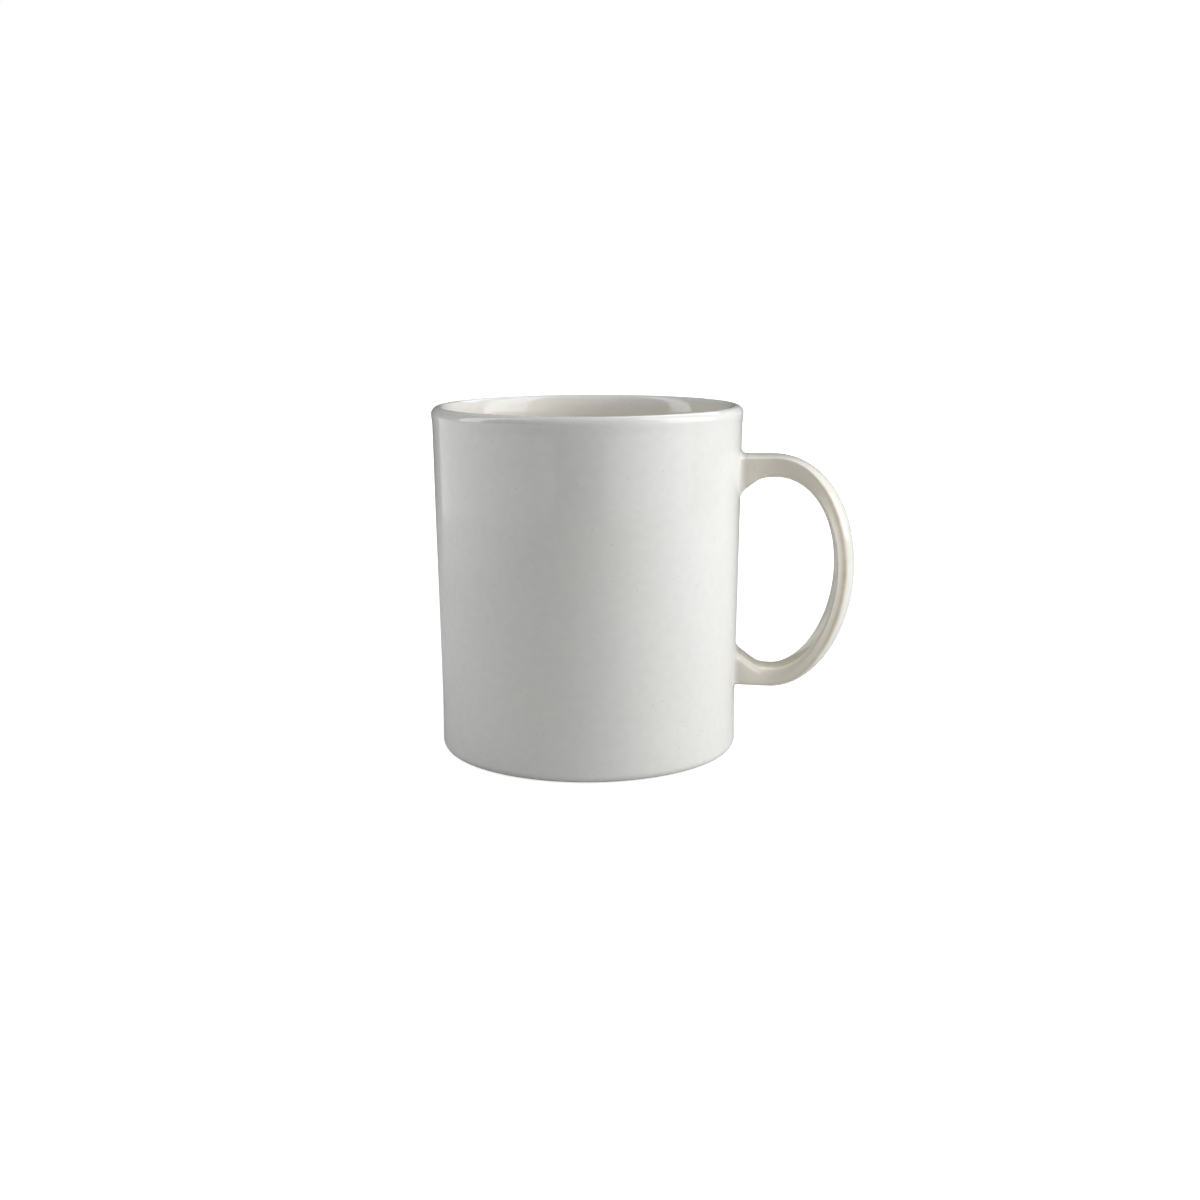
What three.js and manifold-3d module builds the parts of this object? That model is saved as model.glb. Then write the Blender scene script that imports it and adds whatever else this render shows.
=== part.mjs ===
// Ceramic mug: a slightly tapered round body and a separately formed ear-shaped handle, joined by
// two seams of slip (liquid clay).  Millimetres, +Z up.  The mug stands on the plane z = 0 and the
// origin is under the middle of its outer box; the handle points along +X.
import * as THREE from "three";
import { mergeVertices } from "three/addons/utils/BufferGeometryUtils.js";
import Module from "manifold-3d";

const wasm = await Module();
wasm.setup();

// ---------------------------------------------------------------- driving dimensions

// Body
const HEIGHT = 92; // standing plane to the top of the lip
const RIM_RADIUS = 41.2; // the widest point of the lip
const LIP_THICKNESS = 4; // the lip is rounded to half of this
const WALL_AT_FLOOR = 5.2; // the wall thickens evenly from the lip down to the floor
const TAPER = 1.45; // how much the wall's radius grows from the standing plane to the lip
const LIP_SWELL = 0.2; // how far the lip stands proud of the tapered wall
const LIP_SWELL_DROP = 5; // the swell starts this far below the top
const FOOT_SWELL = 0.25; // how far the wall stands proud of the taper at the foot
const FOOT_SWELL_HEIGHT = 15; // the swell ends at this height
const FOOT_ROUNDING = 2; // outer corner between the wall and the foot ring
const FOOT_RING_WIDTH = 2.6; // flat, unglazed ring that the mug stands on
const RECESS_DEPTH = 1.6; // how far the base is hollowed inside the foot ring
const RECESS_SLOPE = 1.8; // width of the slope from the foot ring up to the recess
const FLOOR_HEIGHT = 7; // inside floor above the standing plane
const FLOOR_ROUNDING = 9; // inside corner between the floor and the wall

// Handle: its centre line runs straight out of the wall, round a superellipse, and straight back
const HANDLE_REACH = 71.2; // outermost point of the handle from the body's axis
const BEND_X = 49.4; // where the straight runs end and the bend begins
const BEND_Z = 48.6; // height of the outermost point
const UPPER_RISE = 27.6; // centre line of the upper run above BEND_Z
const LOWER_DROP = 29.5; // centre line of the lower run below BEND_Z
const UPPER_BEND_POWER = 2.1; // 2 is an ellipse; more is a fuller bend
const LOWER_BEND_POWER = 1.96;
const GRIP_THICKNESS = 5.15; // at the outermost point, measured in the handle's plane
const UPPER_THICKNESS = 5.85;
const LOWER_THICKNESS = 5.5;
const STRAP_WIDTH = 11.5; // across the handle, along Y
const CROWN_SHARE = 0.55; // part of the thickness taken by the domed outer face
const CROWN_POWER = 2; // exponent of the domed outer face
const PALM_POWER = 3.5; // exponent of the flatter inner face
const WEB_START = 45.8; // inside corners: the strap deepens from here towards the wall
const WEB_SLOPE = 0.81; // and by this much for each millimetre
const SIDE_FLARE = 1; // extra half width where the strap meets the wall

// Slip seams
const FIT_GAP = 0.3; // space left between neighbouring solids
const SEAM_THICKNESS = 1.2; // slip between the wall and the end of the handle
const SEAM_BEAD = 0.9; // how far the squeezed-out slip stands round the handle's end

// Facets
const BODY_SEGMENTS = 64;
const SECTION_POINTS = 24;
const BEND_STEPS = 26;
const RUN_STEPS = 7;
const WALL_STEPS = 12;
const ARC_STEPS = 6;

const AXIS_X = (RIM_RADIUS - HANDLE_REACH) / 2; // body axis, seen from the middle of the outer box
const BURIED_X = RIM_RADIUS - LIP_THICKNESS; // runs start here, inside the wall, and are then cut back

// ---------------------------------------------------------------- materials

const glaze = (name, color) => new THREE.MeshStandardMaterial({ name, color, roughness: 0.12, metalness: 0 });
const bodyGlaze = glaze("body_glaze", 0xe9e7df);
const handleGlaze = glaze("handle_glaze", 0xe6e3d9);
const seamGlaze = glaze("seam_glaze", 0xe3e0d5);

// ---------------------------------------------------------------- helpers

// A closed geometry as a solid: shared vertices are merged and collapsed triangles dropped.
function toSolid(geometry) {
  const bare = geometry.clone();
  bare.deleteAttribute("normal");
  bare.deleteAttribute("uv");
  const merged = mergeVertices(bare);
  const corners = merged.index.array;
  const kept = [];
  for (let i = 0; i < corners.length; i += 3) {
    const [a, b, c] = [corners[i], corners[i + 1], corners[i + 2]];
    if (a !== b && b !== c && c !== a) kept.push(a, b, c);
  }
  const vertProperties = new Float32Array(merged.attributes.position.array);
  return new wasm.Manifold(new wasm.Mesh({ numProp: 3, vertProperties, triVerts: new Uint32Array(kept) }));
}

function toGeometry(solid) {
  const mesh = solid.getMesh();
  const geometry = new THREE.BufferGeometry();
  geometry.setAttribute("position", new THREE.BufferAttribute(new Float32Array(mesh.vertProperties), 3));
  geometry.setIndex(new THREE.BufferAttribute(new Uint32Array(mesh.triVerts), 1));
  geometry.computeVertexNormals();
  return geometry;
}

// Turns a profile of (radius, height) points about the Z axis.
function turned(profile) {
  return new THREE.LatheGeometry(profile, BODY_SEGMENTS).rotateX(Math.PI / 2);
}

// Skins a row of rings, each with the same number of points, and caps both ends.
function loft(rings) {
  const count = rings[0].length;
  const vertices = rings.flat().flatMap((point) => point.toArray());
  const faces = [];
  for (let ring = 0; ring + 1 < rings.length; ring += 1) {
    for (let i = 0; i < count; i += 1) {
      const next = (i + 1) % count;
      const [a, b] = [ring * count + i, ring * count + next];
      faces.push(a, b, b + count, a, b + count, a + count);
    }
  }
  for (const [ring, forward] of [[0, false], [rings.length - 1, true]]) {
    const centre = new THREE.Vector3();
    rings[ring].forEach((point) => centre.addScaledVector(point, 1 / count));
    const hub = vertices.length / 3;
    vertices.push(...centre.toArray());
    for (let i = 0; i < count; i += 1) {
      const [a, b] = [ring * count + i, ring * count + ((i + 1) % count)];
      faces.push(...(forward ? [a, b, hub] : [b, a, hub]));
    }
  }
  const geometry = new THREE.BufferGeometry();
  geometry.setAttribute("position", new THREE.Float32BufferAttribute(vertices, 3));
  geometry.setIndex(faces);
  return geometry;
}

// 0 at and below `from`, 1 at and above `to`, smooth between.
const ease = (value, from, to) => THREE.MathUtils.smoothstep(value, from, to);

// ---------------------------------------------------------------- body

// Outer radius of the wall at height z, lip and foot swells included.
function wallRadius(z) {
  const lipHeight = HEIGHT - LIP_THICKNESS / 2;
  const taper = RIM_RADIUS - LIP_SWELL - TAPER * (1 - z / lipHeight);
  const lip = LIP_SWELL * ease(z, HEIGHT - LIP_SWELL_DROP, lipHeight);
  const foot = FOOT_SWELL * (1 - ease(z, 0, FOOT_SWELL_HEIGHT));
  return taper + lip + foot;
}

// Points of the outer wall from one height to another, moved outwards by `offset`.
function wallPoints(low, high, offset = 0) {
  const points = [];
  for (let i = 0; i <= WALL_STEPS; i += 1) {
    const z = THREE.MathUtils.lerp(low, high, i / WALL_STEPS);
    points.push(new THREE.Vector2(wallRadius(z) + offset, z));
  }
  return points;
}

// Points of an arc in the (radius, height) plane, angles in quarter turns from the radius axis.
function arc(radius, height, size, from, to) {
  const curve = new THREE.EllipseCurve(
    radius, height, size, size, from * Math.PI / 2, to * Math.PI / 2, to < from);
  return curve.getPoints(ARC_STEPS);
}

function mugBody() {
  const lip = LIP_THICKNESS / 2;
  const footRadius = wallRadius(FOOT_ROUNDING) - FOOT_ROUNDING;
  const ringInner = footRadius - FOOT_RING_WIDTH;
  const insideRadius = wallRadius(FLOOR_HEIGHT + FLOOR_ROUNDING) - WALL_AT_FLOOR;
  const profile = [
    new THREE.Vector2(0, RECESS_DEPTH),
    new THREE.Vector2(ringInner - RECESS_SLOPE, RECESS_DEPTH),
    new THREE.Vector2(ringInner, 0),
    ...arc(footRadius, FOOT_ROUNDING, FOOT_ROUNDING, 3, 4),
    ...wallPoints(FOOT_ROUNDING, HEIGHT - lip).slice(1),
    ...arc(RIM_RADIUS - lip, HEIGHT - lip, lip, 0, 2).slice(1),
    ...arc(insideRadius - FLOOR_ROUNDING, FLOOR_HEIGHT + FLOOR_ROUNDING, FLOOR_ROUNDING, 4, 3),
    new THREE.Vector2(0, FLOOR_HEIGHT),
  ];
  return turned(profile);
}

// The body's outer shape without its hollow, grown by `offset`: what the handle is cut back by.
function wallCore(offset) {
  const [low, high] = [FOOT_ROUNDING, HEIGHT - LIP_THICKNESS];
  return toSolid(turned([
    new THREE.Vector2(0, low),
    ...wallPoints(low, high, offset),
    new THREE.Vector2(0, high),
  ]));
}

// ---------------------------------------------------------------- handle

// One closed section of the strap.  `out` is the direction of its domed face in the XZ plane, and
// `grow` widens it all round.
function strapRing(centre, out, thickness, halfWidth, grow) {
  const ring = [];
  for (let i = 0; i < SECTION_POINTS; i += 1) {
    const angle = (i / SECTION_POINTS) * 2 * Math.PI;
    const [across, along] = [Math.cos(angle), Math.sin(angle)];
    const domed = along > 0;
    const power = 2 / (domed ? CROWN_POWER : PALM_POWER);
    const depth = thickness * (domed ? CROWN_SHARE : 1 - CROWN_SHARE) + grow;
    const y = Math.sign(across) * Math.abs(across) ** power * (halfWidth + grow);
    const rise = Math.sign(along) * Math.abs(along) ** power * depth + thickness * (0.5 - CROWN_SHARE);
    ring.push(new THREE.Vector3(centre.x + out.x * rise, y, centre.y + out.y * rise));
  }
  return ring;
}

// A section of one of the two straight runs, at x; side is 1 for the upper run, -1 for the lower.
function runRing(x, side, grow) {
  const thickness = side > 0 ? UPPER_THICKNESS : LOWER_THICKNESS;
  const rise = side > 0 ? UPPER_RISE : -LOWER_DROP;
  const web = WEB_SLOPE * Math.max(0, WEB_START - x);
  const flare = SIDE_FLARE * ease(BEND_X - x, 0, BEND_X - RIM_RADIUS);
  const centre = new THREE.Vector2(x, BEND_Z + rise - side * web / 2);
  return strapRing(centre, new THREE.Vector2(0, side), thickness + web, STRAP_WIDTH / 2 + flare, grow);
}

function runRings(side, grow) {
  const rings = [];
  for (let i = 0; i < RUN_STEPS; i += 1) {
    rings.push(runRing(THREE.MathUtils.lerp(BURIED_X, BEND_X, i / RUN_STEPS), side, grow));
  }
  return rings;
}

// A section of the bend; the angle runs from a quarter turn at the top to minus one at the bottom.
function bendRing(angle) {
  const [along, up] = [Math.max(0, Math.cos(angle)), Math.sin(angle)];
  const reach = HANDLE_REACH - GRIP_THICKNESS / 2 - BEND_X;
  const rise = up > 0 ? UPPER_RISE : LOWER_DROP;
  const power = 2 / (up > 0 ? UPPER_BEND_POWER : LOWER_BEND_POWER);
  const centre = new THREE.Vector2(
    BEND_X + reach * along ** power,
    BEND_Z + rise * Math.sign(up) * Math.abs(up) ** power);
  const out = new THREE.Vector2(
    along ** (2 - power) / reach,
    Math.sign(up) * Math.abs(up) ** (2 - power) / rise).normalize();
  const endThickness = up > 0 ? UPPER_THICKNESS : LOWER_THICKNESS;
  const thickness = THREE.MathUtils.lerp(GRIP_THICKNESS, endThickness, up * up);
  return strapRing(centre, out, thickness, STRAP_WIDTH / 2, 0);
}

function handle() {
  const rings = runRings(1, 0);
  for (let i = 0; i <= BEND_STEPS; i += 1) {
    rings.push(bendRing(Math.PI / 2 - Math.PI * i / BEND_STEPS));
  }
  rings.push(...runRings(-1, 0).reverse());
  const clear = FIT_GAP + SEAM_THICKNESS + FIT_GAP;
  return toGeometry(toSolid(loft(rings)).subtract(wallCore(clear)));
}

// ---------------------------------------------------------------- slip seams

// A thin saddle of slip between the wall and the handle's end, standing out round it as a bead.
function slipSeam(side) {
  const rings = runRings(side, SEAM_BEAD);
  const stub = loft(side > 0 ? rings : rings.reverse());
  const saddle = wallCore(FIT_GAP + SEAM_THICKNESS).subtract(wallCore(FIT_GAP));
  return toGeometry(toSolid(stub).intersect(saddle));
}

// ---------------------------------------------------------------- assembly

const mug = new THREE.Group();
mug.position.x = AXIS_X;

function addPart(name, geometry, material) {
  const mesh = new THREE.Mesh(geometry, material);
  mesh.name = name;
  mug.add(mesh);
}

addPart("mug_body", mugBody(), bodyGlaze);
addPart("handle", handle(), handleGlaze);
addPart("upper_slip_seam", slipSeam(1), seamGlaze);
addPart("lower_slip_seam", slipSeam(-1), seamGlaze);

export default mug;
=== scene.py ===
"""Ceramic mug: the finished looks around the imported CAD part.

The four CAD nodes are replaced by finer meshes on the same dimensions: a turned body, a strap handle
swept along its own centre line, and the two fillets of slip that join them.  Shapes, camera and lights
are in millimetres from the body's axis (handle along +X) and from the standing plane; make_piece() and
metres() turn them into metres in the frame of the part.  Sizes inside materials are metres.
"""

import math

import bmesh
import bpy
import numpy as np
from mathutils import Matrix, Vector, noise


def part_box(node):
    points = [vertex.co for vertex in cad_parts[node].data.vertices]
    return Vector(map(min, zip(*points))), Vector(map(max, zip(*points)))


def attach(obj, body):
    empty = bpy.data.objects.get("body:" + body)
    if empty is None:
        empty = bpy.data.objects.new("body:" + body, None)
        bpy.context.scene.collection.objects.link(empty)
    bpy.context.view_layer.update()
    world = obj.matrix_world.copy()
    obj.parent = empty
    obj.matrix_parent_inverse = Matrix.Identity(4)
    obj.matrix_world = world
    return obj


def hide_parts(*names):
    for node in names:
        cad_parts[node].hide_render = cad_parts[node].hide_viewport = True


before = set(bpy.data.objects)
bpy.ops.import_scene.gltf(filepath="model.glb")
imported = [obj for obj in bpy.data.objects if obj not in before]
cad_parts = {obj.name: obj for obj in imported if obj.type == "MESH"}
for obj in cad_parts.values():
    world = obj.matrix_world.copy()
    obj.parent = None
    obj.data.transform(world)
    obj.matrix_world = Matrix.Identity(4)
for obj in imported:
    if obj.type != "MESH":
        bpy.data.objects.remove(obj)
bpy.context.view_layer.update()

# ---------------------------------------------------------------- dimensions, as in the CAD part

MM = 0.001
body_low, body_high = (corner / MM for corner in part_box("mug_body"))
handle_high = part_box("handle")[1] / MM

HEIGHT = body_high.z
RIM_RADIUS = (body_high.y - body_low.y) / 2
AXIS_X = (body_high.x + body_low.x) / 2
HANDLE_REACH = handle_high.x - AXIS_X

LIP_THICKNESS = 4
WALL_AT_FLOOR = 5.2
TAPER = 1.45  # the wall's radius shrinks by this much from the lip down to the standing plane
LIP_SWELL = 0.2  # the lip stands this far outside the taper
LIP_SWELL_DROP = 5  # and begins to, this far below the top
FOOT_SWELL = 0.25  # the same for the foot
FOOT_SWELL_HEIGHT = 15  # which ends this far up
FOOT_ROUNDING = 2.0
FOOT_RING_WIDTH = 2.6
RECESS_DEPTH = 1.6
RECESS_SLOPE = 1.8  # how far the recess's side leans in over its depth
FLOOR_HEIGHT = 7
FLOOR_ROUNDING = 9

BEND_X = 49.4  # where the two straight runs end and the bend begins
BEND_Z = 48.6  # height of the bend's middle
UPPER_RISE = 27.6  # from there up to the upper run's centre line
LOWER_DROP = 29.5  # and down to the lower run's
UPPER_BEND_POWER = 2.1  # 2 is an ellipse, more is squarer
LOWER_BEND_POWER = 1.96
GRIP_THICKNESS = 5.15
UPPER_THICKNESS = 5.85
LOWER_THICKNESS = 5.5
STRAP_WIDTH = 11.5
WEB_START = 45.8  # from here to the wall the strap is deeper towards its inner face
WEB_SLOPE = 0.81  # by this much for each millimetre
SIDE_FLARE = 1  # each side widens by this much from the bend to the wall

# ---------------------------------------------------------------- finer shape, only in this file

GLAZE_LINE = 0.25  # the glaze ends this far above the standing plane
GLAZE_STEP = 0.1  # and stands this far proud of the bare clay
LIP_INSIDE_DROP = 5.5  # the lip's inner side curves in over this height
RECESS_CORNER = 0.7  # the recess's ceiling bends down from this far inside its side
RECESS_STRAIGHT = (0.3, 0.75)  # shares of the recess's side between which it is straight
RING_EDGE = 0.5  # the foot ring's inner edge is rounded over this much of its flat
UNDULATION = 0.08  # slow unevenness of the hand-finished surface
UNDULATION_SIZE = 24  # length of its waves
UNDULATION_FROM = (2, 8)  # heights over which it sets in above the standing plane
UNDULATION_TO = (2.5, 0.5)  # and depths below the top over which it fades out

# The strap's section at the middle of the grip, the bend's upper end and its lower end
SECTION = {
    "crown": (2.75, 0.5, 1.2),  # height of the domed outer face
    "softness": (0.45, 1.1, 2.0),  # half length over which the inner face's edges are rounded
    "lean": (-0.65, 1.2, 0.6),  # each side's lean towards the inner face, or the outer if negative
    "wear": (1, 0, 0.4),  # how thin the glaze has run over the domed face's edges
    "tone": (0, 1, 0.3),  # share of painted shade that darkens and warms the handle towards its ends
}
AT_GRIP, AT_UPPER_END, AT_LOWER_END = np.array(list(SECTION.values()), float).T
END_POWER = 4  # how late along the bend the section changes to that of its end
LEAN_BLEND = 0.3  # smooths the change from leaning one way to leaning the other
PALM_CROWN = 0.25  # height of the slight dome of the inner face, the palm
RIDGE_SOFTNESS = 0.42  # half length over which the two edges of the domed face are rounded
DENSE_REACH = 1.3  # the mesh is denser within this many softnesses of an edge
WEB_SOFTNESS = 1.5  # half length over which the web at the wall begins
PINCH_AT_WALL = 0.5  # the lower run's underside rises by this much towards the wall
PINCH_INSIDE = 2  # and the rise is complete this far inside the rim's radius
HANDLE_BURIED_X = 37.4  # the handle's ends lie here, inside the wall

# Fillets of slip: leg lengths on the domed face, the sides and the inner face of the strap.
UPPER_FILLET = {"outer": 2.0, "side": 1.9, "inner": 1.8}
LOWER_FILLET = {"outer": 0.6, "side": 1.8, "inner": 1.8}
FILLET_TUCK = 0.004  # a fillet's visible edges lie this far under the surfaces that it joins
FILLET_LIP = 0.35  # it runs on this far
FILLET_DIP = 5 * FILLET_TUCK  # and dips to this depth there
FILLET_DEPTH = 0.35  # how deep its hidden back lies
FILLET_HIDDEN_ROWS = 2  # rows of points on the strap's side before the visible ones
FILLET_SEARCH_ROUNDS = 6  # repeats in the search for the line where strap and wall meet

# Where the marks for the materials begin and end
GLAZE_LINE_BLUR = 0.04  # half the height over which the glaze ends
INSIDE_MARK = (0.3, 3)  # below the top
LIP_MARK = (0.35, 0.35)  # centre, inward from the lip's middle, and width
LIP_MARK_DROP = (1.2, 0.6)  # below the top
CROWN_MARK = (-0.7, 0.3)  # along the section from the domed face's edge
RIDGE_MARK = (0.05, 0.7)  # centre, from the same edge, and width
PALM_MARK = (0.1, 0.9)  # along the section from the inner face's edge
WALL_MARK_START = 0.25  # share of a fillet that keeps the handle's colour and its painted shade

# Fineness of the meshes
BODY_SEGMENTS = 288
SECTION_COUNTS = (13, 9, 5, 9, 8)  # along half of the crown, the ridge, the side, the edge, the palm
ROUNDING_SAMPLES = 15  # points of the sharp section averaged into one of the rounded
RUN_STEPS = 26
BEND_STEPS = 170
FILLET_STEPS = 14
FLOOR_SEGMENTS = 96

# ---------------------------------------------------------------- helpers


def ease(value, low, high):
    """0 at and below low, 1 at and above high, smooth between."""
    t = np.clip((value - low) / (high - low), 0, 1)
    return t * t * (3 - 2 * t)


def lerp(a, b, share):
    """From a at share 0 to b at share 1."""
    return a + (b - a) * share


def hump(value, centre, width):
    """1 at the centre, falling smoothly to nothing over about the width on both sides."""
    return np.exp(-(((value - centre) / width) ** 2))


def line(start, end, steps):
    """Evenly spaced points from start up to, not including, end."""
    share = np.arange(steps)[:, None] / steps
    return lerp(np.array(start, float), np.array(end, float), share)


def arc(centre, radius, start, end, steps, height=None):
    """Points of an arc, angles in degrees, up to and not including the end; height for an ellipse."""
    angle = np.radians(np.linspace(start, end, steps, endpoint=False))
    height = height or radius
    return np.stack([centre[0] + radius * np.cos(angle), centre[1] + height * np.sin(angle)], 1)


def bend(start, corner, end, steps):
    """Points of a quadratic curve that rounds a corner, up to and not including the end."""
    t = (np.arange(steps) / steps)[:, None]
    start, corner, end = (np.array(p, float) for p in (start, corner, end))
    return (1 - t) ** 2 * start + 2 * t * (1 - t) * corner + t**2 * end


def unevenness(points):
    """Slow waves of the surface at these points, in millimetres."""
    waves = [noise.noise(Vector(p) / UNDULATION_SIZE) for p in points.reshape(-1, 3)]
    return UNDULATION * np.array(waves).reshape(points.shape[:-1])


def wall_radius(z):
    """Radius of the outer wall at height z, without waves."""
    lip_height = HEIGHT - LIP_THICKNESS / 2
    taper = RIM_RADIUS - LIP_SWELL - TAPER * (1 - z / lip_height)
    lip = LIP_SWELL * ease(z, HEIGHT - LIP_SWELL_DROP, lip_height)
    foot = FOOT_SWELL * (1 - ease(z, 0, FOOT_SWELL_HEIGHT))
    return taper + lip + foot


def wall_surface(angle, z, rise=0.0):
    """Points on the outer wall, or above it by rise, waves included."""
    angle, z = np.broadcast_arrays(angle, z)
    radius = wall_radius(z)
    points = np.stack([radius * np.cos(angle), radius * np.sin(angle), z], -1)
    radius = radius + unevenness(points) + rise
    return np.stack([radius * np.cos(angle), radius * np.sin(angle), z], -1)


def make_piece(name, points, faces, material, nodes, marks):
    """A smooth closed mesh that rides on the one body and stands for the CAD nodes."""
    placed = (points.reshape(-1, 3) + np.array([AXIS_X, 0, 0])) * MM
    mesh = bpy.data.meshes.new(name)
    mesh.from_pydata(placed.tolist(), [], faces)
    tool = bmesh.new()
    tool.from_mesh(mesh)
    bmesh.ops.recalc_face_normals(tool, faces=tool.faces)
    tool.to_mesh(mesh)
    tool.free()
    for mark, values in marks.items():
        layer = mesh.attributes.new(mark, "FLOAT", "POINT")
        layer.data.foreach_set("value", np.asarray(values, np.float32).ravel())
    mesh.polygons.foreach_set("use_smooth", [True] * len(mesh.polygons))
    mesh.materials.append(material)
    piece = bpy.data.objects.new(name, mesh)
    bpy.context.scene.collection.objects.link(piece)
    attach(piece, "root")
    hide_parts(*nodes)
    return piece


def ring_faces(first, second, count):
    """Quads between two rings of count points, given the index of each ring's first point."""
    faces = []
    for i in range(count):
        following = (i + 1) % count
        faces.append((first + i, first + following, second + following, second + i))
    return faces


# ---------------------------------------------------------------- material nodes


class Nodes:
    """Shorthand for building a node tree."""

    def __init__(self, tree):
        self.tree = tree
        tree.nodes.clear()

    def add(self, kind, inputs=None, **settings):
        """A new node with these settings, and these values or links on its inputs."""
        node = self.tree.nodes.new(kind)
        for key, value in settings.items():
            setattr(node, key, value)
        for key, value in (inputs or {}).items():
            self.feed(node.inputs[key], value)
        return node

    def feed(self, socket, value):
        if isinstance(value, bpy.types.NodeSocket):
            self.tree.links.new(value, socket)
        else:
            socket.default_value = value

    def math(self, operation, a, b):
        return self.add("ShaderNodeMath", {0: a, 1: b}, operation=operation).outputs[0]

    def ramp(self, value, low, high, start=0.0, end=1.0):
        """Maps value from low..high to start..end, smoothly and without overshoot."""
        inputs = {"Value": value, "From Min": low, "From Max": high, "To Min": start, "To Max": end}
        node = self.add("ShaderNodeMapRange", inputs, interpolation_type="SMOOTHSTEP")
        return node.outputs["Result"]

    def mix(self, share, a, b):
        """Colour from a at share 0 to b at share 1."""
        node = self.add("ShaderNodeMix", data_type="RGBA")
        self.feed(node.inputs["Factor"], share)
        self.feed(node.inputs["A"], a if isinstance(a, bpy.types.NodeSocket) else (*a, 1))
        self.feed(node.inputs["B"], b if isinstance(b, bpy.types.NodeSocket) else (*b, 1))
        return node.outputs["Result"]

    def noise(self, where, size, detail=2.0, roughness=0.5):
        """Noise from 0 to 1 whose features are about size metres across."""
        inputs = {"Vector": where, "Scale": 1 / size, "Detail": detail, "Roughness": roughness}
        return self.add("ShaderNodeTexNoise", inputs).outputs["Fac"]

    def mark(self, name):
        """One of the marks that make_piece() stored on the mesh."""
        return self.add("ShaderNodeAttribute", attribute_name=name).outputs["Fac"]


# ---------------------------------------------------------------- materials

GLAZE = (0.856, 0.858, 0.79)  # the wall inside, warmer than outside
GLAZE_WARM = (0.868, 0.838, 0.75)  # inside, where it lies thinner over the clay
HANDLE_GLAZE = (0.76, 0.716, 0.6)  # the handle's sides at the grip
HANDLE_END_GLAZE_PAINTED_SHADE = (0.65, 0.61, 0.51)  # and towards the wall, darkened as painted shade
PALM_GLAZE_PAINTED_BOUNCE = (0.95, 0.905, 0.755)  # the handle's inner face at the grip, lightened and warmed as painted bounce light from the wall
PALM_END_PAINTED_BOUNCE_AND_SHADE = (0.86, 0.81, 0.67)  # and towards the wall, with its painted bounce light dimmed by painted shade
CROWN_GLAZE = (0.84, 0.835, 0.735)  # its domed outer face
SEAM_GLAZE_AND_PAINTED_SHADE = (0.66, 0.628, 0.555)  # the slip where it meets the handle, warm and darkened with the handle's painted shade
THIN_GLAZE = (0.56, 0.47, 0.32)  # on sharp edges, where the clay shines through
MOTTLE = (0.70, 0.70, 0.66)
SPECK = (0.16, 0.12, 0.08)
BARE_CLAY = (0.62, 0.50, 0.36)
BARE_CLAY_DARK = (0.48, 0.38, 0.27)

# Pattern sizes in metres, and the greatest share that each takes of the colour
DRIFT_SIZE, DRIFT_SHARE = 0.03, 0.22
MOTTLE_SIZE, MOTTLE_SHARE = 0.0022, 0.15
SMALL_SPECKS = {"spacing": 0.0021, "radius": 0.00022, "share": 0.4, "strength": 0.28}
LARGE_SPECKS = {"spacing": 0.0065, "radius": 0.0003, "share": 0.15, "strength": 0.55}
SHARE_BLUR = 0.05  # softens the choice of the cells that hold a speck
PEEL_SIZE, RIPPLE_SIZE = 0.0016, 0.006  # the glaze's orange peel, and wider ripples in it
RIPPLE_HEIGHT = 3.0  # against the peel's
BUMP_DISTANCE = 3e-6  # metres, for the peel and the ripples
CLAY_GRAIN_SIZE = 0.0005
PALM_SHARE_ON_SEAM = 0.5  # how much of the palm's colour, with its painted bounce light, the slip takes under the handle

# Broken patches of thin glaze: the noise values between which the clay comes to shine through, and
# how much of it does
LIP_PATCHES = {"size": 0.007, "spread": (0.35, 0.7), "shares": (0.1, 0.35)}
RIDGE_PATCHES = {"size": 0.005, "spread": (0.25, 0.6), "shares": (0.5, 0.9)}

NOISE_SPREAD = (0.3, 0.7)  # nearly all values of a noise lie between these
DRIFT_SPREAD = (0.35, 0.65)
GLAZE_IOR = 1.5
BODY_GLOSS = {"size": 0.012, "roughness": (0.07, 0.12)}
HANDLE_GLOSS = {"size": 0.012, "roughness": (0.08, 0.14)}
SEAM_GLOSS = {"size": 0.01, "roughness": (0.07, 0.12)}
CLAY_ROUGHNESS = 0.85


def specks(n, where, spacing, radius, share, strength):
    """Mask of round specks: one in each random cell of that spacing, in that share of the cells."""
    cells = n.add("ShaderNodeTexVoronoi", {"Vector": where, "Scale": 1 / spacing})
    near = n.ramp(cells.outputs["Distance"], 0.5 * radius / spacing, radius / spacing, 1.0, 0.0)
    picked = n.add("ShaderNodeSeparateColor", {"Color": cells.outputs["Color"]}).outputs["Red"]
    chosen = n.ramp(picked, 1 - share - SHARE_BLUR, 1 - share + SHARE_BLUR, 0.0, strength)
    return n.math("MULTIPLY", near, chosen)


def glaze_colour(n, where, plain, warm, share):
    """Off-white glaze: slow drifts of tone, fine mottling and iron specks."""
    drift = n.ramp(n.noise(where, DRIFT_SIZE), *DRIFT_SPREAD, 0.0, DRIFT_SHARE)
    tone = n.mix(drift, n.mix(share, plain, warm), warm)
    mottle = n.ramp(n.noise(where, MOTTLE_SIZE, detail=3), *NOISE_SPREAD, 0.0, MOTTLE_SHARE)
    tone = n.mix(mottle, tone, MOTTLE)
    tone = n.mix(specks(n, where, **SMALL_SPECKS), tone, SPECK)
    return n.mix(specks(n, where, **LARGE_SPECKS), tone, SPECK)


def thin_glaze(n, where, colour, size, spread, shares):
    """The colour with the clay shining through, in broken patches, where the mesh is marked thin."""
    broken = n.ramp(n.noise(where, size, detail=3), *spread, *shares)
    return n.mix(n.math("MULTIPLY", n.mark("thin"), broken), colour, THIN_GLAZE)


def glaze_gloss(n, where, size, roughness):
    """Roughness that drifts between two values."""
    return n.ramp(n.noise(where, size), *NOISE_SPREAD, *roughness)


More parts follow.
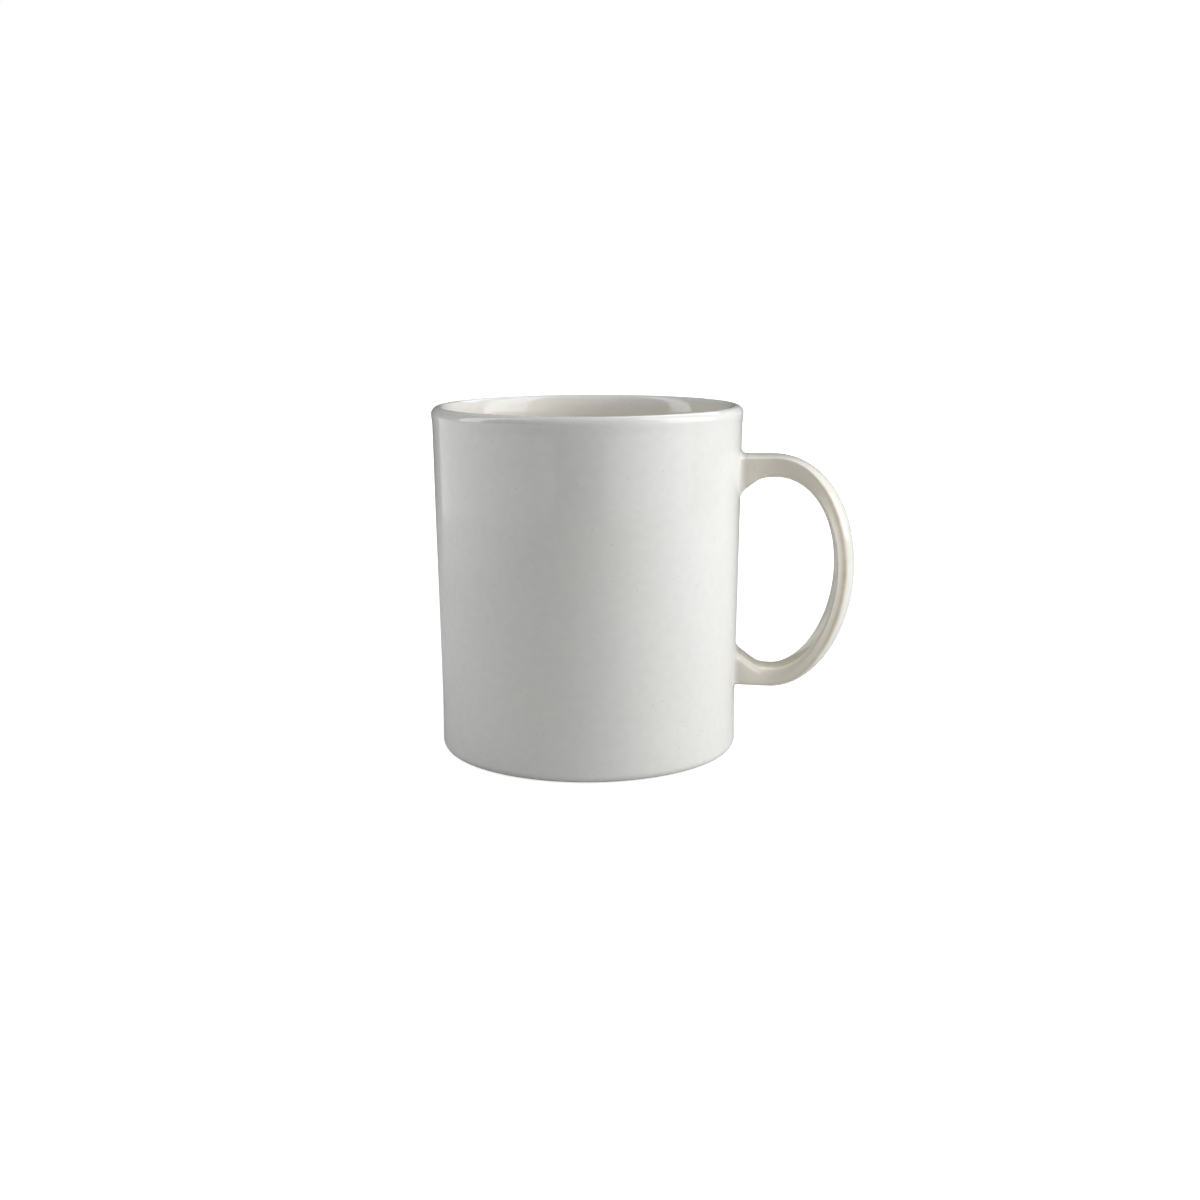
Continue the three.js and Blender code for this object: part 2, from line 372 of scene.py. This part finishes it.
def glaze_shader(n, where, colour, roughness):
    """A clear hard glaze with a faint orange peel."""
    peel = n.noise(where, PEEL_SIZE, detail=1.5)
    ripple = n.noise(where, RIPPLE_SIZE, detail=1)
    height = n.math("ADD", peel, n.math("MULTIPLY", ripple, RIPPLE_HEIGHT))
    bump = n.add("ShaderNodeBump", {"Strength": 1.0, "Distance": BUMP_DISTANCE, "Height": height})
    normal = bump.outputs[0]
    inputs = {"Base Color": colour, "Roughness": roughness, "IOR": GLAZE_IOR, "Normal": normal}
    shader = n.add("ShaderNodeBsdfPrincipled", inputs)
    output = n.add("ShaderNodeOutputMaterial")
    n.tree.links.new(shader.outputs[0], output.inputs["Surface"])


def start_material(name):
    """A new material, its empty node tree and the place on the object, in metres."""
    material = bpy.data.materials.new(name)
    material.use_nodes = True
    n = Nodes(material.node_tree)
    return material, n, n.add("ShaderNodeTexCoord").outputs["Object"]


def body_material():
    """Glaze outside and in, warmer inside, thin on the lip's edge, and none under the foot ring."""
    material, n, where = start_material("body_glaze")
    colour = glaze_colour(n, where, GLAZE, GLAZE_WARM, n.mark("inside"))
    colour = thin_glaze(n, where, colour, **LIP_PATCHES)
    grain = n.ramp(n.noise(where, CLAY_GRAIN_SIZE, detail=3), *NOISE_SPREAD)
    colour = n.mix(n.mark("bare"), colour, n.mix(grain, BARE_CLAY, BARE_CLAY_DARK))
    matt = n.math("MULTIPLY", n.mark("bare"), CLAY_ROUGHNESS)
    roughness = n.math("MAXIMUM", glaze_gloss(n, where, **BODY_GLOSS), matt)
    glaze_shader(n, where, colour, roughness)
    return material


def handle_material():
    """Warmer glaze, lighter on the outer face, lightened on the inner face as painted bounce light,
    darkened as painted shade towards the ends, and thin on the ridges.
    """
    material, n, where = start_material("handle_glaze")
    # the sides, darkened towards the ends as painted shade
    side = n.mix(n.mark("tone"), HANDLE_GLAZE, HANDLE_END_GLAZE_PAINTED_SHADE)
    plain = n.mix(n.mark("crown"), side, CROWN_GLAZE)
    # the inner face, lightened as painted bounce light, dimmer towards the ends as painted shade
    palm = n.mix(n.mark("tone"), PALM_GLAZE_PAINTED_BOUNCE, PALM_END_PAINTED_BOUNCE_AND_SHADE)
    colour = glaze_colour(n, where, plain, palm, n.mark("palm"))
    colour = thin_glaze(n, where, colour, **RIDGE_PATCHES)
    glaze_shader(n, where, colour, glaze_gloss(n, where, **HANDLE_GLOSS))
    return material


def seam_material():
    """Slip under the glaze: as warm and as dark as the handle's end where it meets it, with the same
    painted shade, lightened under the handle with the palm's painted bounce light, and as white as the
    wall's where it meets the wall.
    """
    material, n, where = start_material("seam_glaze")
    wall = n.mark("wall")
    # darkened near the handle with the handle's painted shade
    plain = n.mix(wall, SEAM_GLAZE_AND_PAINTED_SHADE, GLAZE)
    warm = n.mix(wall, PALM_GLAZE_PAINTED_BOUNCE, GLAZE_WARM)
    palm = n.math("MULTIPLY", n.mark("palm"), PALM_SHARE_ON_SEAM)
    share = n.math("MULTIPLY", palm, n.math("SUBTRACT", 1, wall))
    colour = glaze_colour(n, where, plain, warm, share)
    glaze_shader(n, where, colour, glaze_gloss(n, where, **SEAM_GLOSS))
    return material


# ---------------------------------------------------------------- body


def body_profile():
    """(radius, height) points from the middle of the base round to the middle of the floor.

    The last number of each line, bend and arc is how many points it gives.
    """
    lip = LIP_THICKNESS / 2
    foot_radius = wall_radius(FOOT_ROUNDING) - FOOT_ROUNDING
    ring_inner = foot_radius - FOOT_RING_WIDTH
    slope_top = (ring_inner - RECESS_SLOPE, RECESS_DEPTH)
    slope_down = np.array([RECESS_SLOPE, -RECESS_DEPTH])
    slope_start, slope_end = (np.array(slope_top) + share * slope_down for share in RECESS_STRAIGHT)
    inside_radius = wall_radius(FLOOR_HEIGHT + FLOOR_ROUNDING) - WALL_AT_FLOOR
    inside_top = (RIM_RADIUS - 2 * lip, HEIGHT - LIP_INSIDE_DROP)
    wall_heights = np.linspace(FOOT_ROUNDING, HEIGHT - lip, 96, endpoint=False)
    return np.vstack([
        line((0, RECESS_DEPTH), (slope_top[0] - RECESS_CORNER, RECESS_DEPTH), 34),
        bend((slope_top[0] - RECESS_CORNER, RECESS_DEPTH), slope_top, slope_start, 6),
        line(slope_start, slope_end, 5),
        bend(slope_end, (ring_inner, 0), (ring_inner + RING_EDGE, 0), 12),
        line((ring_inner + RING_EDGE, 0), (foot_radius, 0), 5),
        arc((foot_radius, FOOT_ROUNDING), FOOT_ROUNDING, -90, 0, 30),
        np.stack([wall_radius(wall_heights), wall_heights], 1),
        arc((RIM_RADIUS - lip, HEIGHT - lip), lip, 0, 90, 22),
        arc((RIM_RADIUS - lip, inside_top[1]), lip, 90, 180, 36, LIP_INSIDE_DROP),
        line(inside_top, (inside_radius, FLOOR_HEIGHT + FLOOR_ROUNDING), 60),
        arc((inside_radius - FLOOR_ROUNDING, FLOOR_HEIGHT + FLOOR_ROUNDING), FLOOR_ROUNDING, 0, -90, 20),
        line((inside_radius - FLOOR_ROUNDING, FLOOR_HEIGHT), (0, FLOOR_HEIGHT), 24),
        [(0, FLOOR_HEIGHT)],
    ])


def below_top(drops):
    """The heights that lie this far below the top."""
    return [HEIGHT - drop for drop in drops]


def body_marks(radius, height):
    """For each profile point: bare clay, thin glaze on the lip, and the inside."""
    outside = np.arange(len(height)) <= np.argmax(height)
    near_foot = outside & (radius > RIM_RADIUS / 2) & (height < RECESS_DEPTH)
    glazed = ease(height, GLAZE_LINE - GLAZE_LINE_BLUR, GLAZE_LINE + GLAZE_LINE_BLUR)
    lip_centre, lip_width = LIP_MARK
    on_lip = hump(radius, RIM_RADIUS - LIP_THICKNESS / 2 - lip_centre, lip_width)
    return {
        "bare": np.where(near_foot, 1 - glazed, 0),
        "thin": on_lip * ease(height, *below_top(LIP_MARK_DROP)),
        "inside": np.where(outside, 0, ease(HEIGHT - height, *INSIDE_MARK)),
    }


def body_rings(radius, height):
    """A ring of points for each profile point but the first and last, with the waves of the wall."""
    waves = ease(height, *UNDULATION_FROM) * (1 - ease(height, *below_top(UNDULATION_TO)))
    turn = np.arange(BODY_SEGMENTS) / BODY_SEGMENTS * 2 * math.pi
    across, along = np.cos(turn), np.sin(turn)
    rings = []
    for r, z, share in zip(radius[1:-1], height[1:-1], waves[1:-1]):
        ring = np.stack([r * across, r * along, np.full(BODY_SEGMENTS, z)], 1)
        if share > 0:
            ring[:, :2] *= (1 + share * unevenness(ring) / r)[:, None]
        rings.append(ring)
    return rings


def build_body():
    radius, height = body_profile().T
    marks = body_marks(radius, height)
    ring_middle = wall_radius(FOOT_ROUNDING) - FOOT_ROUNDING - FOOT_RING_WIDTH / 2
    radius = radius - GLAZE_STEP * marks["bare"] * np.sign(radius - ring_middle)
    rings = body_rings(radius, height)
    points = np.vstack([[(0, 0, height[0])], *rings, [(0, 0, height[-1])]])
    faces = []
    last = 1 + (len(rings) - 1) * BODY_SEGMENTS
    for i in range(BODY_SEGMENTS):
        following = (i + 1) % BODY_SEGMENTS
        faces.append((0, 1 + following, 1 + i))
        faces.append((last + i, last + following, len(points) - 1))
    for k in range(len(rings) - 1):
        faces += ring_faces(1 + k * BODY_SEGMENTS, 1 + (k + 1) * BODY_SEGMENTS, BODY_SEGMENTS)

    for mark, values in marks.items():
        marks[mark] = np.concatenate([values[:1], np.repeat(values[1:-1], BODY_SEGMENTS), values[-1:]])
    make_piece("mug_body_glazed", points, faces, body_material(), ["mug_body"], marks)


# ---------------------------------------------------------------- handle


def dome(half_width, height):
    """Radius of a dome of that half width and height, and the angle from its middle to its edge."""
    radius = (half_width**2 + height**2) / (2 * height)
    return radius, math.degrees(math.asin(half_width / radius))


def strap_outline(thickness, half_width, crown, lean):
    """The strap's section with sharp edges: right half from the crown's top to the palm's middle.

    The three parts are the crown, the side, which curves when it leans, and the palm.
    """
    top, bottom = thickness / 2, -thickness / 2
    crown_half = half_width - (math.hypot(lean, LEAN_BLEND) - lean) / 2
    palm_half = half_width - (math.hypot(lean, LEAN_BLEND) + lean) / 2
    crown_radius, crown_reach = dome(crown_half, crown)
    palm_radius, palm_reach = dome(palm_half, PALM_CROWN)
    ridge, edge = (crown_half, top - crown), (palm_half, bottom + PALM_CROWN)
    return [
        arc((0, top - crown_radius), crown_radius, 90, 90 - crown_reach, 40),
        bend(ridge, (crown_half, (ridge[1] + edge[1]) / 2), edge, 20),
        arc((0, bottom + palm_radius), palm_radius, -90 + palm_reach, -90, 30),
    ]


def strap_section(thickness, half_width, crown, softness, lean, wear, tone):
    """Points round the strap's section, with its edges rounded, and their marks."""
    parts = strap_outline(thickness, half_width, crown, lean)
    half = np.vstack([*parts, [(0, -thickness / 2)]])
    whole = np.vstack([half, (half * [-1, 1])[::-1][1:]])
    # Distance round the sharp section from the crown's top, at each of its points and corners
    reach = np.concatenate([[0], np.cumsum(np.hypot(*np.diff(whole, axis=0).T))])
    ridge, edge = reach[len(parts[0])], reach[len(parts[0]) + len(parts[1])]
    middle = reach[len(half) - 1]
    # Places of the mesh's points along it, closer together at the corners
    near_ridge, near_edge = DENSE_REACH * RIDGE_SOFTNESS, DENSE_REACH * softness
    stops = [0, ridge - near_ridge, ridge + near_ridge, edge - near_edge, edge + near_edge, middle]
    places = [
        np.linspace(stops[k], stops[k + 1], count, endpoint=False)
        for k, count in enumerate(SECTION_COUNTS)
    ]
    right = np.concatenate([*places, [middle]])
    places = np.concatenate([right, (2 * middle - right)[::-1][1:-1]])
    from_top = np.minimum(places, 2 * middle - places)
    # Each point is the average of the sharp section over a window, which rounds the corners
    half_window = lerp(RIDGE_SOFTNESS, softness, ease(from_top, ridge, edge))
    samples = places[:, None] + half_window[:, None] * np.linspace(-1, 1, ROUNDING_SAMPLES)
    across = np.interp(samples, reach, whole[:, 0], period=reach[-1]).mean(1)
    out = np.interp(samples, reach, whole[:, 1], period=reach[-1]).mean(1)
    thin_centre, thin_width = RIDGE_MARK
    marks = {
        "crown": 1 - ease(from_top, *(ridge + step for step in CROWN_MARK)),
        "thin": wear * hump(from_top, ridge + thin_centre, thin_width),
        "palm": ease(from_top, *(edge + step for step in PALM_MARK)),
        # share of painted shade towards the handle's ends
        "tone": np.full(len(from_top), float(tone)),
    }
    return across, out, marks


def web_depth(x):
    """How much deeper the strap is at x, towards its inner face, near the wall."""
    before = WEB_START - x
    return WEB_SLOPE * (before + math.hypot(before, WEB_SOFTNESS)) / 2


def run_station(x, side):
    """Centre, outward direction and section sizes of a straight run at x; side 1 is up, -1 down."""
    thickness = UPPER_THICKNESS if side > 0 else LOWER_THICKNESS
    rise = UPPER_RISE if side > 0 else -LOWER_DROP
    end = AT_UPPER_END if side > 0 else AT_LOWER_END
    web = web_depth(x)
    flare = SIDE_FLARE * ease(BEND_X - x, 0, BEND_X - RIM_RADIUS)
    pinch_reach = BEND_X - RIM_RADIUS + PINCH_INSIDE
    pinch = 0 if side > 0 else PINCH_AT_WALL * ease(BEND_X - x, 0, pinch_reach)
    centre = (x, BEND_Z + rise - side * (web + pinch) / 2)
    return centre, (0, side), (thickness + web - pinch, STRAP_WIDTH / 2 + flare, *end)


def bend_station(angle):
    """The same for the bend; the angle runs from a quarter turn at the top to minus one."""
    along, up = max(0, math.cos(angle)), math.sin(angle)
    reach = HANDLE_REACH - GRIP_THICKNESS / 2 - BEND_X
    rise = UPPER_RISE if up > 0 else LOWER_DROP
    power = 2 / (UPPER_BEND_POWER if up > 0 else LOWER_BEND_POWER)
    centre = np.array([reach * along**power, rise * math.copysign(abs(up) ** power, up)])
    centre += [BEND_X, BEND_Z]
    out = np.array([along ** (2 - power) / reach, math.copysign(abs(up) ** (2 - power), up) / rise])
    out /= np.hypot(*out)
    thickness = lerp(GRIP_THICKNESS, UPPER_THICKNESS if up > 0 else LOWER_THICKNESS, up * up)
    here = lerp(AT_GRIP, AT_UPPER_END if up > 0 else AT_LOWER_END, up**END_POWER)
    web = web_depth(centre[0])
    return centre - web / 2 * out, out, (thickness + web, STRAP_WIDTH / 2, *here)


def strap_ring(station):
    """The ring of points round a station, with its marks."""
    centre, out_direction, sizes = station
    across, out, marks = strap_section(*sizes)
    ring = np.stack([centre[0] + out_direction[0] * out, across, centre[1] + out_direction[1] * out], 1)
    return ring, marks


def build_handle():
    """The strap, from its upper end inside the wall round to the lower, closed at both ends."""
    run = np.linspace(HANDLE_BURIED_X, BEND_X, RUN_STEPS, endpoint=False)
    turn = np.linspace(math.pi / 2, -math.pi / 2, BEND_STEPS)
    stations = [run_station(x, 1) for x in run]
    stations += [bend_station(angle) for angle in turn]
    stations += [run_station(x, -1) for x in run[::-1]]
    rings, ring_marks = zip(*(strap_ring(s) for s in stations))
    count = len(rings[0])
    points = np.vstack([*rings, rings[0].mean(0), rings[-1].mean(0)])
    first_hub, last_hub = len(points) - 2, len(points) - 1
    faces = []
    for k in range(len(rings) - 1):
        faces += ring_faces(k * count, (k + 1) * count, count)
    last = (len(rings) - 1) * count
    for i in range(count):
        following = (i + 1) % count
        faces.append((following, i, first_hub))
        faces.append((last + i, last + following, last_hub))
    marks = {m: np.concatenate([*(r[m] for r in ring_marks), [0, 0]]) for m in ring_marks[0]}
    make_piece("handle_glazed", points, faces, handle_material(), ["handle"], marks)


# ---------------------------------------------------------------- slip seams


def strap_at(x_values, side):
    """The strap's surface points, one for each line along it, at that line's own x."""
    found = [strap_ring(run_station(x, side)) for x in x_values]
    return np.array([ring[i] for i, (ring, _) in enumerate(found)])


def unrolled(points):
    """The points on the unrolled wall: distance along it, height, and distance away from it."""
    angle = np.arctan2(points[:, 1], points[:, 0])
    away = np.hypot(points[:, 0], points[:, 1]) - wall_radius(points[:, 2])
    return np.stack([angle * RIM_RADIUS, points[:, 2], away], 1)


def rolled(points):
    """The way back from unrolled(), onto the uneven wall."""
    return wall_surface(points[:, 0] / RIM_RADIUS, points[:, 1], points[:, 2])


def meeting_x(side):
    """Where each line along the strap meets the wall."""
    count = len(strap_ring(run_station(RIM_RADIUS, side))[0])
    x = np.full(count, wall_radius(BEND_Z))
    for _ in range(FILLET_SEARCH_ROUNDS):
        meet = strap_at(x, side)
        x = np.sqrt(wall_radius(meet[:, 2]) ** 2 - meet[:, 1] ** 2)
    return x


def outline_normals(corner):
    """Directions on the unrolled wall, at right angles to the strap's outline and away from it."""
    tangent = np.roll(corner, -1, 0) - np.roll(corner, 1, 0)
    normal = np.stack([tangent[:, 1], -tangent[:, 0], np.zeros(len(corner))], 1)
    normal /= np.linalg.norm(normal, axis=1)[:, None]
    return normal * np.sign(np.sum(normal * (corner - corner.mean(0)), axis=1))[:, None]


def seam_rows(side, fillet):
    """Rows of points round the strap, from under its surface, over the fillet, to under the wall.

    Also how much each point of a row faces the way that the strap's inner face does.
    """
    meet_x = meeting_x(side)
    corner = unrolled(strap_at(meet_x, side))
    corner[:, 2] = 0
    normal = outline_normals(corner)
    outward = side * normal[:, 1]  # 1 on the strap's outer face, 0 on its sides, -1 on its inner face
    leg = np.where(
        outward > 0,
        lerp(fillet["side"], fillet["outer"], outward**2),
        lerp(fillet["side"], fillet["inner"], outward**2),
    )
    into_strap = np.stack([np.zeros(len(corner)), -normal[:, 0], -normal[:, 1]], 1)

    def on_strap(extra, tuck):
        return unrolled(strap_at(meet_x + leg + extra, side) + tuck * into_strap)

    def on_wall(extra, tuck):
        points = corner + normal * (leg + extra)[:, None]
        points[:, 2] = -tuck
        return points

    start, end = on_strap(0, FILLET_TUCK), on_wall(0, FILLET_TUCK)
    rows = [on_strap(FILLET_LIP, FILLET_DEPTH), on_strap(FILLET_LIP, FILLET_DIP)]
    for k in range(FILLET_STEPS + 1):
        t = k / FILLET_STEPS
        rows.append((1 - t) ** 2 * start + 2 * t * (1 - t) * corner + t**2 * end)
    rows += [on_wall(FILLET_LIP, FILLET_DIP), on_wall(FILLET_LIP, FILLET_DEPTH)]
    hidden = corner - FILLET_DEPTH * normal
    hidden[:, 2] = -FILLET_DEPTH
    rows.append(hidden)
    return [rolled(row) for row in rows], ease(-outward, 0, 1)


def build_seam(name, side, fillet, material):
    rows, palm = seam_rows(side, fillet)
    count = len(rows[0])
    faces = []
    for k in range(len(rows)):
        faces += ring_faces(k * count, (k + 1) % len(rows) * count, count)
    visible_row = np.arange(len(rows)) - FILLET_HIDDEN_ROWS
    wall = ease(visible_row, WALL_MARK_START * FILLET_STEPS, FILLET_STEPS)
    marks = {"palm": np.tile(palm, len(rows)), "wall": np.repeat(wall, count)}
    make_piece(name + "_glazed", np.vstack(rows), faces, material, [name], marks)


# ---------------------------------------------------------------- stage, light and camera

# The camera stands as in the photograph; azimuth is measured from -Y towards the handle.
CAMERA_AZIMUTH = 4
CAMERA_DISTANCE = 415.9  # along the ground from the body's axis
CAMERA_HEIGHT = 122.4
CAMERA_TILT = 11.303  # down
CAMERA_YAW = 0.435  # to the right of the axis
CAMERA_ROLL = -0.234  # anticlockwise if positive, seen from behind it
CAMERA_LENS = 46.93
SENSOR_WIDTH = 36
CLIP_START, CLIP_END = 0.01, 50  # metres

FLOOR_RADIUS = 6000
FLOOR_SINK = 0.05  # below the standing plane
FLOOR_ALBEDO = 0.6
GLOW = (0.8, 1.4)  # what the camera sees added to the floor, near the mug and far from it
GLOW_RANGE = (0.15, 0.5)  # metres
AMBIENT = 0.06  # strength of the even room light
LIGHT_TINT = (0.995, 1, 1.06)  # the softboxes are a little cooler than white
SOFTBOX_STEP = 22.5  # degrees
NEAR, FAR = 290, 430  # from the axis of the cup to the softboxes
CARD_TOP, BOX_TOP, WINDOW_TOP = 60, 350, 1100  # heights the softboxes reach to

# Rows of softboxes: first and last azimuth, distance, lowest and highest point, radiance
SOFTBOX_ROWS = {
    "window_right": (67.5, 90, FAR, CARD_TOP, WINDOW_TOP, 3.65),
    "box_right": (45, 45, FAR, CARD_TOP, BOX_TOP, 1.4),
    "window_left": (-90, -90, FAR, CARD_TOP, WINDOW_TOP, 3.25),
    "window_back": (135, 157.5, FAR, BOX_TOP, WINDOW_TOP, 2.28),
    "box_front": (0, 22.5, FAR, CARD_TOP, BOX_TOP, 0.3),
    "card_back": (180, 180, FAR, 0, CARD_TOP, 0.5),
    "card_right": (22.5, 67.5, FAR, 0, CARD_TOP, 0.8),
    "card_left": (-123.75, -33.75, FAR, 0, CARD_TOP, 0.7),
    "card_near": (-123.75, -56.25, NEAR, 0, CARD_TOP, 0.24),
}
WHITE = (1, 1, 1, 1)


def ground_direction(azimuth):
    """Direction along the ground from the mug; 0 is towards the camera, 90 to the picture's right."""
    turn = math.radians(azimuth + CAMERA_AZIMUTH)
    return Vector((math.sin(turn), -math.cos(turn), 0))


def metres(point):
    """A point from the axis of the cup, in millimetres, as metres in the frame of the part."""
    return (Vector(point) + Vector((AXIS_X, 0, 0))) * MM


def build_camera():
    """The camera, looking ahead with its own right and up."""
    tilt, yaw, roll = (math.radians(a) for a in (CAMERA_TILT, CAMERA_YAW, CAMERA_ROLL))
    ahead = Vector((math.sin(yaw) * math.cos(tilt), math.cos(yaw) * math.cos(tilt), -math.sin(tilt)))
    ahead = Matrix.Rotation(math.radians(CAMERA_AZIMUTH), 3, "Z") @ ahead
    right = ahead.cross(Vector((0, 0, 1))).normalized()
    up = right.cross(ahead)
    rolled_right = math.cos(roll) * right + math.sin(roll) * up
    rolled_up = math.cos(roll) * up - math.sin(roll) * right
    data = bpy.data.cameras.new("camera")
    data.lens = CAMERA_LENS
    data.sensor_width = SENSOR_WIDTH
    data.clip_start, data.clip_end = CLIP_START, CLIP_END
    camera = bpy.data.objects.new("camera", data)
    place = Matrix((rolled_right, rolled_up, -ahead)).transposed().to_4x4()
    place.translation = metres(CAMERA_DISTANCE * ground_direction(0) + Vector((0, 0, CAMERA_HEIGHT)))
    camera.matrix_world = place
    bpy.context.scene.collection.objects.link(camera)
    bpy.context.scene.camera = camera


def floor_material():
    """A pale matt floor, brightened for the camera alone as a lit white sweep is."""
    material, n, place = start_material("floor_white")
    matt = n.add("ShaderNodeBsdfDiffuse", {"Color": (FLOOR_ALBEDO, FLOOR_ALBEDO, FLOOR_ALBEDO, 1)})
    seen = n.add("ShaderNodeLightPath").outputs["Is Camera Ray"]
    away = n.add("ShaderNodeVectorMath", {0: place}, operation="LENGTH").outputs["Value"]
    strength = n.math("MULTIPLY", seen, n.ramp(away, *GLOW_RANGE, *GLOW))
    glow = n.add("ShaderNodeEmission", {"Color": WHITE, "Strength": strength})
    both = n.add("ShaderNodeAddShader")
    n.tree.links.new(matt.outputs[0], both.inputs[0])
    n.tree.links.new(glow.outputs[0], both.inputs[1])
    output = n.add("ShaderNodeOutputMaterial")
    n.tree.links.new(both.outputs[0], output.inputs["Surface"])
    return material


def build_floor():
    """A disc just under the mug."""
    turn = np.linspace(0, 2 * math.pi, FLOOR_SEGMENTS, endpoint=False)
    points = np.stack([np.cos(turn), np.sin(turn), np.zeros(FLOOR_SEGMENTS)], 1) * FLOOR_RADIUS * MM
    points[:, 2] = -FLOOR_SINK * MM
    mesh = bpy.data.meshes.new("floor")
    mesh.from_pydata(points.tolist(), [], [tuple(range(FLOOR_SEGMENTS))])
    mesh.materials.append(floor_material())
    floor = bpy.data.objects.new("floor", mesh)
    bpy.context.scene.collection.objects.link(floor)


def build_world():
    """Even room light, and a white background for the camera."""
    world = bpy.data.worlds.new("studio")
    world.use_nodes = True
    n = Nodes(world.node_tree)
    room = n.add("ShaderNodeBackground", {"Color": WHITE, "Strength": AMBIENT})
    backdrop = n.add("ShaderNodeBackground", {"Color": WHITE, "Strength": 1.0})
    choose = n.add("ShaderNodeMixShader", {0: n.add("ShaderNodeLightPath").outputs["Is Camera Ray"]})
    n.tree.links.new(room.outputs[0], choose.inputs[1])
    n.tree.links.new(backdrop.outputs[0], choose.inputs[2])
    output = n.add("ShaderNodeOutputWorld")
    n.tree.links.new(choose.outputs[0], output.inputs["Surface"])
    bpy.context.scene.world = world


def softbox(name, azimuth, distance, width, low, high, radiance):
    """A soft light standing at that azimuth, turned to the mug and unseen by the camera."""
    data = bpy.data.lights.new(name, "AREA")
    data.shape = "RECTANGLE"
    data.size, data.size_y = width * MM, (high - low) * MM
    data.color = LIGHT_TINT
    data.energy = radiance * math.pi * data.size * data.size_y
    light = bpy.data.objects.new(name, data)
    outward = ground_direction(azimuth)
    light.location = metres(outward * distance + Vector((0, 0, (low + high) / 2)))
    light.rotation_mode = "QUATERNION"
    light.rotation_quaternion = outward.to_track_quat("Z", "Y")
    light.visible_camera = False
    bpy.context.scene.collection.objects.link(light)


def softbox_row(name, first, last, distance, low, high, radiance):
    """Softboxes side by side on an arc round the mug, one every SOFTBOX_STEP degrees."""
    width = 2 * distance * math.tan(math.radians(SOFTBOX_STEP / 2))
    for index in range(round((last - first) / SOFTBOX_STEP) + 1):
        azimuth = first + index * SOFTBOX_STEP
        softbox(f"{name}_{index}", azimuth, distance, width, low, high, radiance)


def build_studio():
    """Floor, room light and softboxes."""
    build_floor()
    build_world()
    for name, row in SOFTBOX_ROWS.items():
        softbox_row(name, *row)
    bpy.context.scene.view_settings.view_transform = "Standard"


build_camera()
build_studio()
build_body()
build_handle()
slip = seam_material()
build_seam("upper_slip_seam", 1, UPPER_FILLET, slip)
build_seam("lower_slip_seam", -1, LOWER_FILLET, slip)
